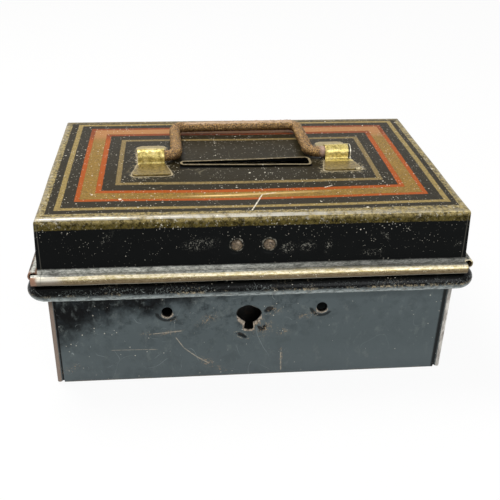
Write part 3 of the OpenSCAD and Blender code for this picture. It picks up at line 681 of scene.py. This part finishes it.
def base_strips(n, front, ragged):
    """Bare rolled strips at the front corners, with a dark groove beside each."""
    wall = front * n.fall(n.z, WALL_TOP, WALL_TOP + 0.2)
    right = n.band(n.x + ragged * 0.3, STRIP_X - 1.75, STRIP_X - 0.05, 0.4)
    left = n.band(n.x, -STRIP_X + 0.05, -STRIP_X + 0.65, 0.15)
    n.coat(n.most(wall * right, wall * left) * 0.9, "0d0c0b")
    brushed = n.mix(n.blots((1, 5, 0.7, n.stretched((1, 1, 0.2))), 0.35, 0.6), "8a827b", "d2cec6")
    tin_and_sheen = n.mix(n.step(n.x, -10, 10), "84756a", brushed)
    strip = n.step(abs(n.x), STRIP_X, STRIP_X + 0.15) * n.step(n.z + ragged, 33, 37, (0.95, 0.5))
    n.coat(wall * strip, tin_and_sheen)


def keyhole_rim(n):
    """Distance out from the keyhole's outline, in mm, with less added below, where more metal shows."""
    beside = n.most(abs(n.x - KEY_X) - STEM_HALF, 0)
    beyond = n.most(KEY_Z - STEM - n.z, n.z - KEY_Z, 0)
    stem = n.far(beside, beyond) - STEM_ROUND
    rim = n.least(n.far(n.x - KEY_X, n.z - KEY_Z) - KEY_R, stem)
    return rim + n.step(n.z, KEY_Z - 4, KEY_Z + 3.5, (-0.25, 0.55))


def base_rims(n, front, ragged):
    """Bare metal round the keyhole and the holes, and painted shadows under the holes' burrs. Returns the
    metal.
    """
    rim = keyhole_rim(n)
    shadow = 0
    for hole_x in HOLES:
        hole_r = n.far(n.x - hole_x, n.z - HOLE_Z)
        above = n.step(n.z - HOLE_Z, -1.4, 0.8, (-0.2, 0.8))
        rim = n.least(rim, hole_r - HOLE_R + above)
        under = n.fall(n.z - HOLE_Z + (n.x - hole_x) * 0.25, -2, -1)
        shadow = n.most(shadow, n.band(hole_r + ragged * 0.5, 3.2, 4.6, 0.35) * under)
    # painted shadows: dark crescents under the burred holes
    n.coat(shadow * front * 0.8, "060707")
    pale = n.fall(rim + ragged * 1.2, 0.05, 0.5) * front
    n.coat(pale * 0.85, n.mix(n.blots((1.3, 5, 0.7), 0.38, 0.6), "4d4138", "bcae9c"))
    return pale


def base_bruises(n, front, ragged):
    """Black dents beside the keyhole, with torn pale edges."""
    bruise = n.front_patches(BASE_BRUISES)
    torn = bruise + ragged * 1.1
    n.coat(n.step(torn, 0.25, 0.8) * front * 0.9, "060708")
    torn_edge = n.band(torn, 0.02, 0.26, 0.08) * n.step(bruise, 0, 0.12)
    n.coat(torn_edge * front * n.blots((0.9, 5, 0.7), 0.50, 0.60) * 0.9, "b5a78f")


def base_wear(n, front):
    """Scuffs, a worn foot line and scratches. Returns the scuffs and the hairlines."""
    scuffed = n.front_patches(BASE_SCUFFS) * n.blots((1.25, 7, 0.8), 0.53, 0.60)
    foot_line = n.fall(n.z, 0.3, 1.4) * n.blots((0.2, 5, 0.7), 0.40, 0.55)
    n.coat(n.most(scuffed, foot_line * 0.6) * front * 0.8, SCUFF)
    at_left = n.hairlines(0.11, 0.004, (33, 4, 21)) * n.step(n.x, -50, -10, (1, 0.3))
    everywhere = n.most(n.hairlines(0.03, 0.0018, (10, 30, 70)), n.hairlines(0.05, 0.0025, (80, 5, 9), 0.45))
    fine = n.most(everywhere, at_left)
    n.coat(fine * n.step(n.x, -5, 30, (0.5, 0.1)), "98a09f")
    marks = n.most(*[n.line(*scratch, "xz") for scratch in BASE_SCRATCHES])
    n.coat(marks * front * n.blots((1.2, 6, 0.75), 0.36, 0.54, (0.1, 0.9)), "a39a8a")
    return scuffed, fine


def base_paint():
    n = Paint("japanned_base")
    ragged = n.jitter(0.9, 0.6, 6, 0.75)
    front = n.fall(n.y, BASE_FRONT, BASE_FRONT + 0.3) * n.outside()
    base_coats_and_painted_light(n, front)
    streaks = base_bead(n)
    base_strips(n, front, ragged)
    pale = base_rims(n, front, ragged)
    base_bruises(n, front, ragged)
    scuffed, fine = base_wear(n, front)
    dots = dusty(n, 0.16)
    rough = n.noise(0.5, 4, 0.6) * 0.12 + (n.most(scuffed, pale) * 0.35 + 0.16)
    height = n.noise(0.25, 4, 0.5) + (dots + fine) * -0.2 + streaks * 0.8
    return n.finish(rough, 0, n.bump(height, 0.25, 0.15), 0.08)


# ---- metals

def brass():
    """Worn brass of the clips: dark front feet, dull back feet, a painted highlight on the top of the left
    arch, and the right clip's torn mouth, with painted shade in its open end.
    """
    n = Paint("worn_brass")
    grain = n.noise(1.1, 6, 0.7)
    n.colour = n.mix(n.step(grain, 0.34, 0.66), "8a793c", "dcc878")
    n.coat(n.blots((0.45, 5, 0.6), 0.48, 0.66, (0, 0.6)), "d6c692")
    fore = n.step(n.y, -4.5, -3.2, (0.8, 0))
    n.coat(fore, n.mix(n.step(grain, 0.36, 0.62), "43331a", "715d34"))
    aft = n.step(n.y, 4.4, 5.4, (0, 0.8))
    n.coat(aft, n.mix(n.noise(0.9, 6, 0.75), "6a5939", "a99a74"))
    n.coat(n.blots((2, 6, 0.75), 0.60, 0.68, (0, 0.75)), "3c2f1a")
    # a painted highlight along the top of the left clip's arch
    left = n.fall(n.x, -20, -19)
    rubbed_and_sheen = left * n.band(n.y + n.jitter(0.5, 0.4), 1.4, 2.6, 0.4) * n.step(n.z, 75, 75.5)
    n.coat(rubbed_and_sheen * 0.8, "d8c3b6")
    broken = n.patch(44.2, -11.6, 2.6, 1.4, -15) * n.blots((1.4, 5, 0.7), 0.36, 0.5)
    n.coat(broken, "e6d8b0")
    n.coat(n.line(42, -13.4, 42.7, -10.8, 0.22) * 0.9, "0c0905")
    mouth = n.band(n.y + n.jitter(0.6, 0.5), -1.6, 2.2, 0.5)
    # a dark band on the right clip's arch, painted as the shade in its open end
    n.coat(mouth * n.step(n.x, 41.6, 41.8) * 0.95, "0a0806")
    n.coat(mouth * n.step(n.x, 42.35, 42.5) * 0.9, "efe8d2")
    return n.finish(grain * 0.2 + 0.22, 0.45, n.bump(n.noise(0.9, 6, 0.65), 0.5, 0.15), 0.4)


def rusty():
    """Rust of the wire: pitted, with a painted highlight along the top of its crossbar and painted shade on
    its underside, and smooth on the right foot.
    """
    n = Paint("rusty_wire")
    grain = n.noise(1.7, 7, 0.75)
    pits = n.noise(2.8, 5, 0.7)
    n.colour = n.mix(n.step(grain, 0.42, 0.58), "28180a", "77542d")
    n.coat(n.blots((0.28, 4, 0.6), 0.50, 0.70, (0, 0.35)), "9c8160")
    n.coat(n.step(pits, 0.515, 0.56, (0, 0.85)), "cfa562")
    n.coat(n.step(pits, 0.40, 0.45, (0.85, 0)), "150b04")
    # a painted highlight along the top of the crossbar, which is also made smoother
    grip_highlight = n.fall(abs(n.x), 21, 25) * n.step(n.facing_z, 0.62, 0.86)
    grip_highlight = grip_highlight * n.step(grain, 0.36, 0.50, (0.35, 1))
    n.coat(grip_highlight * 0.8, "ae9377")
    # painted shade on the underside of the wire
    n.coat(n.step(n.facing_z, -0.45, 0.2, (0.45, 0)), "2c1b0d")
    smooth_foot = n.step(n.x, 29.5, 31.5) * n.fall(n.x, 42, 43) * 0.75
    n.coat(smooth_foot, "a88d82")
    rough = grain * 0.25 + 0.34 - n.most(smooth_foot, grip_highlight) * 0.18
    return n.finish(rough, 0.3, n.bump(grain + pits * 0.6, 0.8, 0.35), 0.5)


def steel(name, dark, light, stain, metal, specular, polish):
    """Plain steel of two shades, with stains."""
    n = Paint(name)
    grain = n.noise(1.2, 6, 0.65)
    n.colour = n.mix(n.step(grain, 0.3, 0.75), dark, light)
    n.coat(n.blots((0.3, 5, 0.7), 0.52, 0.66, (0, 0.7)), stain)
    return n.finish(grain * 0.25 + polish, metal, n.bump(grain, 0.4, 0.1), specular)


# ---- unevenness and dents

def waves(seed, count=9, shortest=16, longest=70):
    """Random waves, each a direction with its pitch in mm, a phase and a push."""
    rng = random.Random(seed)
    rows = []
    for _ in range(count):
        direction = Vector([rng.gauss(0, 1) for _ in range(3)]).normalized()
        pitch = rng.uniform(shortest, longest)
        phase = rng.uniform(0, 2 * math.pi)
        push = np.array([rng.gauss(0, 1) for _ in range(3)])
        rows.append((np.array(direction) * 2 * math.pi / pitch, phase, push))
    return rows


WAVES = waves(11)


def unevenness(p, size=0.10):
    """The slow unevenness of old sheet, the same for every piece, with none at the hinges and the table."""
    out = np.zeros_like(p)
    for k, phase, push in WAVES:
        out += np.sin(p @ k + phase)[:, None] * push[None, :]
    out *= size / math.sqrt(len(WAVES))
    calm = np.clip((46.5 - p[:, 1]) / 6, 0, 1) * np.clip(p[:, 2] / 4, 0, 1)
    return out * calm[:, None]


def gauss(distance, width):
    """A bell curve, 1 at no distance."""
    return np.exp(-(distance / width) ** 2)


def keyhole_marks(out, x, z, front):
    """The keyhole's edge knocked out of round, with its shoulders drawn in above the stem."""
    r = np.hypot(x - KEY_X, z - KEY_Z)
    turn = np.arctan2(z - KEY_Z, x - KEY_X)
    out[:, 1] += front * gauss(r - KEY_R, 1) * 0.22 * np.sin(turn * 3 + 0.6)
    knocked = front * gauss(r - KEY_R, 0.8) * 0.28 * (np.sin(turn * 2 + 2.2) + 0.6 * np.sin(turn * 5))
    shoulders = np.clip(-np.sin(turn), 0, 1) * np.abs(np.cos(turn))
    outward = knocked - front * gauss(r - KEY_R, 0.9) * shoulders * 1.9
    out[:, 0] += outward * np.cos(turn)
    out[:, 2] += outward * np.sin(turn)
    corner = np.clip(np.abs(x - KEY_X) / 1.8, 0, 1.6) ** 4 * gauss(x - KEY_X, 3.2)
    out[:, 2] += front * corner * gauss(z - (KEY_Z - STEM - STEM_ROUND), 1.1) * 1.2


def base_marks(p):
    """Burrs round the two holes, and dents near the keyhole."""
    x, y, z = p.T
    out = unevenness(p)
    front = np.clip((-44.5 - y) / 1.5, 0, 1) * (z < 40.5)
    for hole_x, lean in zip(HOLES, (1, 0.8)):
        r = np.hypot(x - hole_x, z - HOLE_Z)
        below = np.clip((HOLE_Z + 0.8 - z) / 2.5, 0, 1)
        out[:, 1] -= front * gauss(r - 2.3, 0.8) * (0.15 + 0.65 * below * lean)
        out[:, 1] += front * gauss(r - 4.2, 0.8) * 0.35 * below
    for dent_x, dent_z, wide, deep in BASE_DENTS:
        r = np.hypot(x - dent_x, (z - dent_z) * 1.3)
        out[:, 1] += front * (gauss(r, wide) * deep - gauss(r - wide * 1.5, 0.7) * deep * 0.35)
    keyhole_marks(out, x, z, front)
    return out


def lid_marks(p):
    """A sagging top, a bent slot edge, dimples round the hasp's rivets, and knocks along the front."""
    x, y, z = p.T
    out = unevenness(p)
    top = np.clip((z - 69) / 1.5, 0, 1) * np.clip((y - LID_FRONT) / 5, 0, 1)
    out[:, 2] -= top * gauss(y + 30, 13) * gauss(x + 4, 48)
    out[:, 2] -= top * gauss(y - 27, 9) * gauss(x, 45) * 0.5
    half = SLOT_HALF_LEFT + (SLOT_HALF_RIGHT - SLOT_HALF_LEFT) * (x + SLOT_HALF_X) / (2 * SLOT_HALF_X)
    beside = y - SLOT_Y
    slot_edge = (z > 70.2) * (np.abs(x) < SLOT_HALF_X + 0.5) * (np.abs(beside) < half + 0.2)
    out[:, 1] += slot_edge * np.sign(beside) * (0.30 + 0.10 * np.sin(x * 0.7))
    front = np.clip((-46.5 - y) / 1.2, 0, 1) * (z > 51) * (z < 69)
    for rivet_x in RIVETS:
        r = np.hypot(x - rivet_x, z - RIVET_Z)
        out[:, 1] += front * (gauss(r - 2.9, 0.6) * 0.28 - gauss(r - 4.1, 0.6) * 0.10)
    for dent_x, dent_z, wide, deep in LID_DENTS:
        out[:, 1] += front * gauss(np.hypot(x - dent_x, z - dent_z), wide) * deep
    edge = np.clip((-46 - y) / 2, 0, 1)
    hem = edge * (z < 51)
    for dent_x, wide, deep in HEM_DENTS:
        out[:, 1] += hem * gauss(x - dent_x, wide) * deep
    crown = edge * np.clip((z - 69.6) / 1.2, 0, 1)
    for dent_x, wide, deep in CROWN_DENTS:
        knock = crown * gauss(x - dent_x, wide) * deep
        out[:, 1] += knock
        out[:, 2] -= knock * 0.6
    return out


# ---- meshes

def points(bm):
    """Places of a mesh's vertices, in mm."""
    return np.array([v.co[:] for v in bm.verts]) / MM


def crease(bm, angle):
    """Smooth faces, with creases where two of them meet at more than an angle in degrees."""
    for f in bm.faces:
        f.smooth = True
    for e in bm.edges:
        e.smooth = len(e.link_faces) != 2 or e.calc_face_angle(0) <= math.radians(angle)


def solid_from(bm, name):
    bmesh.ops.recalc_face_normals(bm, faces=bm.faces)
    mesh = bpy.data.meshes.new(name)
    bm.to_mesh(mesh)
    bm.free()
    return new_object(name, mesh)


def dress(obj, material):
    obj.data.materials.clear()
    obj.data.materials.append(MATERIALS[material])


def settle(obj, body, material, node):
    """Dresses a piece, ties it to its body and puts it in the place of a solid."""
    dress(obj, material)
    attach(obj, body)
    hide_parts(node)


def cut_rows(bm, axis, low, high, pitch, keep=None):
    """Cuts a mesh by planes across one axis, in mm; only faces whose middle keep allows, if it is given."""
    normal = [0, 0, 0]
    normal[axis] = 1
    place = low
    while place < high:
        point = [0, 0, 0]
        point[axis] = place * MM
        faces = [f for f in bm.faces if keep is None or keep(f.calc_center_bounds() / MM)]
        geometry = set()
        for f in faces:
            reach = [v.co[axis] for v in f.verts]
            if min(reach) < point[axis] < max(reach):
                geometry.update([f, *f.edges, *f.verts])
        if geometry:
            bmesh.ops.bisect_plane(bm, geom=list(geometry), plane_co=point, plane_no=normal, dist=1e-7)
        place += pitch


def worn_copy(node, name, body, marks, pitch, detail=()):
    """A finer mesh of a sheet piece, its surface uneven and its marks modelled.

    detail lists x and z ranges of its front, in mm, each with a finer pitch.
    """
    margin, behind_front = 3, -40
    first = 0.37 * pitch
    bm = bmesh.new()
    bm.from_mesh(frame["nodes"][node].data)
    bmesh.ops.remove_doubles(bm, verts=bm.verts, dist=2e-7)
    bmesh.ops.dissolve_limit(bm, angle_limit=math.radians(0.4), verts=bm.verts, edges=bm.edges)
    crease(bm, 40)
    low, high = points(bm).min(0), points(bm).max(0)
    for axis in range(3):
        cut_rows(bm, axis, low[axis] + first, high[axis], pitch)
    for (x0, x1), (z0, z1), fine in detail:
        def near(c):
            in_x = x0 - margin < c.x < x1 + margin
            return in_x and z0 - margin < c.z < z1 + margin and c.y < behind_front
        cut_rows(bm, 0, x0, x1, fine, near)
        cut_rows(bm, 2, z0, z1, fine, near)
    bmesh.ops.triangulate(bm, faces=[f for f in bm.faces if len(f.verts) > 4])
    worn = points(bm)
    worn += marks(worn)
    for v, p in zip(bm.verts, worn):
        v.co = p * MM
    settle(solid_from(bm, name), body, body, node)


def mesh_object(name, groups, crease_angle):
    """One object of several groups of vertices, in mm, and faces."""
    bm = bmesh.new()
    for verts, faces in groups:
        made = [bm.verts.new([c * MM for c in v]) for v in verts]
        for f in faces:
            bm.faces.new([made[i] for i in f])
    bmesh.ops.recalc_face_normals(bm, faces=bm.faces)
    crease(bm, crease_angle)
    return solid_from(bm, name)


def tube_faces(rings, sides):
    """Faces that join rings of vertices into a tube, and close its ends."""
    faces = []
    for i in range(rings - 1):
        for k in range(sides):
            a, b = i * sides + k, i * sides + (k + 1) % sides
            faces.append((a, b, b + sides, a + sides))
    last = (rings - 1) * sides
    return faces + [tuple(range(sides)), tuple(range(last, last + sides))]


def strap_faces(rows, across):
    """Faces of a strap: an upper grid of vertices, a lower one after it, and the edges between them."""
    width = across + 1
    under = rows * width
    faces = []
    for i in range(rows - 1):
        for a in range(i * width, i * width + across):
            faces.append((a, a + 1, a + width + 1, a + width))
            faces.append((under + a, under + a + width, under + a + width + 1, under + a + 1))
        for a in (i * width, i * width + across):
            faces.append((a, a + width, under + a + width, under + a))
    for start in (0, (rows - 1) * width):
        for a in range(start, start + across):
            faces.append((a, under + a, under + a + 1, a + 1))
    return faces


def run(a, b, count):
    """Points from a to b in a plane, without the last."""
    return [(a[0] + (b[0] - a[0]) * k / count, a[1] + (b[1] - a[1]) * k / count) for k in range(count)]


def arc(centre, radius, start, end, count):
    """Points round a centre between two angles in degrees, without the last."""
    turns = [math.radians(start + (end - start) * k / count) for k in range(count)]
    return [(centre[0] + radius * math.cos(t), centre[1] + radius * math.sin(t)) for t in turns]


def direction_at(line, i):
    """Direction of a line of plane points at one of them."""
    ahead, behind = line[min(i + 1, len(line) - 1)], line[max(i - 1, 0)]
    return Vector((ahead[0] - behind[0], ahead[1] - behind[1])).normalized()


# ---- rivets, handle and clips

def hasp_rivets():
    """Two domed rivets with peened tails: the left plain, the right with a sunk ring in its crown."""
    tail = [(0.02, -1.9), (1.5, -1.9), (1.7, -1.75), (1.7, -1.55), (0.88, -1.5), (0.88, 0), (2.08, 0)]
    plain = [(RIVET_R, 0.12), (1.98, 0.42), (1.72, 0.72), (1.32, 0.93),
             (0.85, 1.02), (0.4, 1.05), (0.02, 1.05)]
    ringed = [(RIVET_R, 0.12), (1.98, 0.42), (1.74, 0.68), (1.40, 0.82), (1.18, 0.80), (1.02, 0.66),
              (0.88, 0.64), (0.74, 0.78), (0.45, 0.86), (0.02, 0.88)]
    sides = 40
    slope = FLARE / (LID_TOP - HEM_Z)
    tilt = Matrix.Rotation(math.pi / 2 - math.atan(slope), 4, "X")
    groups = []
    for x, head in zip(RIVETS, (plain, ringed)):
        profile = tail + head
        matrix = Matrix.Translation((x, LID_FRONT - slope * (LID_TOP - RIVET_Z), RIVET_Z)) @ tilt
        rings = [(*place, h) for r, h in profile for place in arc((0, 0), r, 0, 360, sides)]
        groups.append(([matrix @ Vector(v) for v in rings], tube_faces(len(profile), sides)))
    obj = mesh_object("hasp_rivets_domed", groups, 35)
    settle(obj, "lid", "rivet", "hasp_rivets")


def handle_frame():
    """The handle's own frame: on the pivot, a little skewed."""
    return Matrix.Translation((0, HANDLE_Y, HANDLE_Z)) @ Matrix.Rotation(math.radians(HANDLE_SKEW), 4, "Z")


def handle_path():
    """Centre line of the bail from its left foot to its right foot, in the handle's own frame."""
    u, b, reach = UPRIGHT, WIRE_BEND, REACH
    bend = int(b * math.pi / 2 / WIRE_STEP)

    def straight(a, b):
        return run(a, b, int(math.dist(a, b) / WIRE_STEP))

    path = straight((-FOOT_END, 0), (-u - b, 0)) + arc((-u - b, b), b, -90, 0, bend)
    path += straight((-u, b), (-u, reach - b)) + arc((-u + b, reach - b), b, 180, 90, bend)
    path += straight((-u + b, reach), (u - b, reach)) + arc((u - b, reach - b), b, 90, 0, bend)
    path += straight((u, reach - b), (u, b)) + arc((u + b, b), b, 180, 270, bend)
    path += straight((u + b, 0), (FOOT_END, 0)) + [(FOOT_END, 0)]
    return [(x - PLAY, y) for x, y in path]


def wire_roughness(x, y):
    """Depth of the rust: none inside the clips, little on the right foot, most on the uprights."""
    if abs(x) > CLIP_X - CLIP_W / 2 - 1:
        return 0
    if x > UPRIGHT + 1:
        return 0.08
    return 0.42 if y < REACH - 3 else 0.24


def pitted_radius(p, rough, taper):
    """Radius of the wire where its plain surface has a point, in mm."""
    coarse = noise.noise(p * 0.9) * 0.8
    grit = noise.noise(p * 2.1 + Vector((7, 3, 1))) * 0.9
    pits = max(0, noise.noise(p * 1.5 + Vector((31, 17, 5))) - 0.15) * -1.1
    radius = WIRE_R * (0.55 + 0.45 * taper) + rough * (coarse + grit + pits) - rough * 0.15
    return min(radius, WIRE_R + WIRE_BULGE)


def handle_wire():
    """The bail, pitted by rust, with rounded ends."""
    path = handle_path()
    matrix = handle_frame()
    verts = []
    for i, (x, y) in enumerate(path):
        centre = Vector((x, y, 0))
        along = direction_at(path, i)
        side = Vector((-along.y, along.x, 0))
        from_end = min(i, len(path) - 1 - i) * WIRE_STEP
        taper = math.sqrt(1 - max(0, 1 - from_end / WIRE_ROUNDING) ** 2)
        for across, up in arc((0, 0), 1, 0, 360, WIRE_SIDES):
            out = side * across + Vector((0, 0, up))
            radius = pitted_radius(centre + out * WIRE_R, wire_roughness(x, y), taper)
            verts.append(matrix @ (centre + out * radius))
    obj = mesh_object("handle_wire", [(verts, tube_faces(len(path), WIRE_SIDES))], 60)
    settle(obj, "handle", "rust", "handle")


def clip_line(span, fillet):
    """Middle line of a strap from its front foot over the wire to its back foot, as y and z."""
    low = -CLIP_LIFT + CLIP_T / 2
    radius = span - fillet
    line = run((-CLIP_FRONT, low), (-span, low), 22)
    line += arc((-span, low + fillet), fillet, -90, 0, 7)
    line += run((-radius, low + fillet), (-radius, 0), 4)
    line += arc((0, 0), radius, 180, 0, 24)
    line += run((radius, 0), (radius, low + fillet), 4)
    line += arc((span, low + fillet), fillet, 180, 270, 7)
    line += run((span, low), (CLIP_BACK, low), 22)
    return line + [(CLIP_BACK, low)]


def clip_half_width(y):
    """Half the width of a strap at a distance from the wire: its feet spread, and have round corners."""
    if y < 0:
        half = CLIP_W / 2 + FRONT_SPREAD * max(0, -y - ARCH_R)
        left = y + CLIP_FRONT
    else:
        half = CLIP_W / 2 + BACK_SPREAD * max(0, y - ARCH_R)
        left = CLIP_BACK - y
    inset = max(0, FOOT_CORNER - left)
    return half - FOOT_CORNER + math.sqrt(max(0, FOOT_CORNER ** 2 - inset ** 2))


def clip_strap(side, name, node):
    """A brass strap pressed over the foot of the wire: soft bends, rounded feet, a slightly beaten face."""
    fillet = 0.9
    span = ARCH_R - CLIP_T / 2 + fillet
    across = 22
    line = clip_line(span, fillet)
    matrix = handle_frame() @ Matrix.Translation((side * CLIP_X, 0, 0))
    seed = Vector((side * 13, 4, 9))
    upper, lower = [], []
    for i, (y, z) in enumerate(line):
        along = direction_at(line, i)
        normal = Vector((0, -along.y, along.x))
        dent = 0.05 if abs(y) > span else 0.10
        for s in [-1 + 2 * j / across for j in range(across + 1)]:
            p = Vector((s * clip_half_width(y), y, z))
            beaten = noise.noise(p * 0.55 + seed) * dent
            ease = 0.10 * max(0, (abs(s) - 0.9) / 0.1)
            upper.append(matrix @ (p + normal * (CLIP_T / 2 - ease + beaten)))
            lower.append(matrix @ (p - normal * (CLIP_T / 2)))
    obj = mesh_object(name, [(upper + lower, strap_faces(len(line), across))], 50)
    settle(obj, "lid", "brass", node)


# ---- the scene

camera()
studio()
MATERIALS = {
    "lid": lid_paint(),
    "base": base_paint(),
    "brass": brass(),
    "rust": rusty(),
    "steel": steel("dull_steel", "11100f", "24221f", "2a1e15", 0.5, 0.4, 0.34),
    "hinge": steel("japanned_hinge", "0a0a0a", "1d1b18", "4a3320", 0.15, 0.25, 0.34),
    "rivet": steel("rivet_steel", "2b2116", "85735a", "54402a", 0.35, 0.6, 0.12),
}
PLAIN = {
    "base": ("base_end_left", "base_end_right"),
    "hinge": [f"hinge_leaf_{body}_{side}" for body in ("base", "lid") for side in ("left", "right")],
    "steel": ("lock_case", "lock_cover", "lock_studs", "lock_spring", "lock_bolt", "hasp"),
    "rivet": ("hinge_pins", "base_hinge_rivets", "lid_hinge_rivets"),
}
for material, nodes in PLAIN.items():
    for node in nodes:
        dress(frame["nodes"][node], material)

# x range, z range and pitch of the parts that are cut finely
HOLE_DETAIL = [((x - 4, x + 4), (27, 35), 0.45) for x in (-32, 25)]
KEY_DETAIL = ((-9, 13), (17, 35), 0.6)
RIVET_DETAIL = ((-13, 10), (54, 65), 0.6)
worn_copy("base_tray", "base_walls", "base", base_marks, 5, (*HOLE_DETAIL, KEY_DETAIL))
worn_copy("rim_bead", "base_rim", "base", unevenness, 5)
worn_copy("lid_top", "lid_skin", "lid", lid_marks, 4, (RIVET_DETAIL,))
for side in ("left", "right"):
    worn_copy("lid_end_" + side, "lid_side_" + side, "lid", lid_marks, 5)
hasp_rivets()
handle_wire()
clip_strap(-1, "clip_strap_left", "clip_left")
clip_strap(1, "clip_strap_right", "clip_right")

bpy.context.scene.view_settings.view_transform = "Standard"
